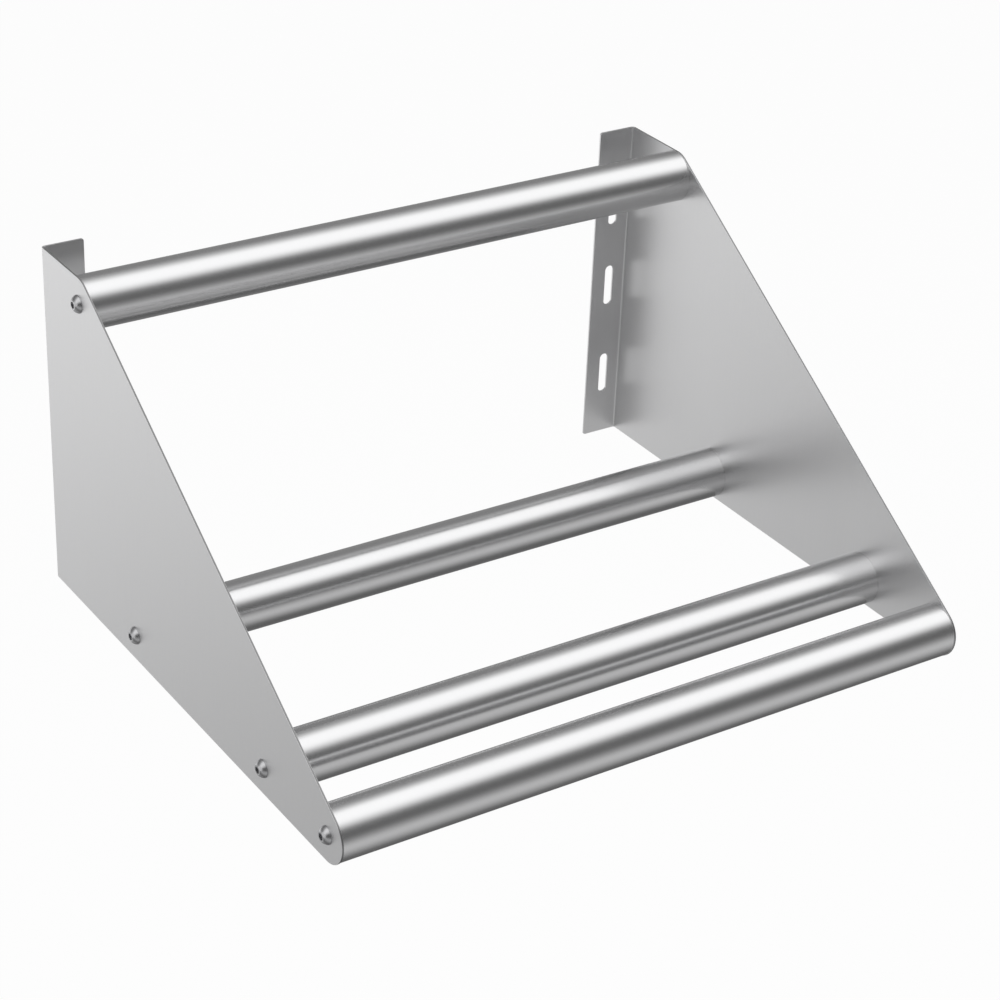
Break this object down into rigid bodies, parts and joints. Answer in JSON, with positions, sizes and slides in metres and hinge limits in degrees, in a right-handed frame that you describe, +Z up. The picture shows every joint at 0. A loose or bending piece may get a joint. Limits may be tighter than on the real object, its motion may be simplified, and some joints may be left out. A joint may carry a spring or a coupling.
{
  "type": "wall-mounted glass rack shelf",
  "caption": "Wall-mounted shelf that carries a glass rack on round tube rails between folded triangular end plates with slotted wall flanges.",
  "frame": {"origin": "on the wall plane, midway between the end plates, level with their lower edges", "axes": "+X along the wall from the left end plate to the right one, +Y into the wall, +Z up"},
  "size_m": [0.5422, 0.4505, 0.28],
  "materials": {
    "plate_sheet": "fine satin-brushed stainless sheet with sheared edges",
    "rail_tube": "bright stainless tube with a fine polishing grain round it",
    "end_plug": "turned, uncoated",
    "screw": "plain stainless, smooth domed head"
  },
  "bodies": {
    "root": {"left_end_plate": "plate_sheet", "right_end_plate": "plate_sheet", "top_rail": "rail_tube", "rear_rail": "rail_tube", "middle_rail": "rail_tube", "front_rail": "rail_tube", "top_rail_left_plug": "end_plug", "top_rail_right_plug": "end_plug", "rear_rail_left_plug": "end_plug", "rear_rail_right_plug": "end_plug", "middle_rail_left_plug": "end_plug", "middle_rail_right_plug": "end_plug", "front_rail_left_plug": "end_plug", "front_rail_right_plug": "end_plug", "top_rail_left_screw": "screw", "top_rail_right_screw": "screw", "rear_rail_left_screw": "screw", "rear_rail_right_screw": "screw", "middle_rail_left_screw": "screw", "middle_rail_right_screw": "screw", "front_rail_left_screw": "screw", "front_rail_right_screw": "screw"}
  },
  "joints": []
}
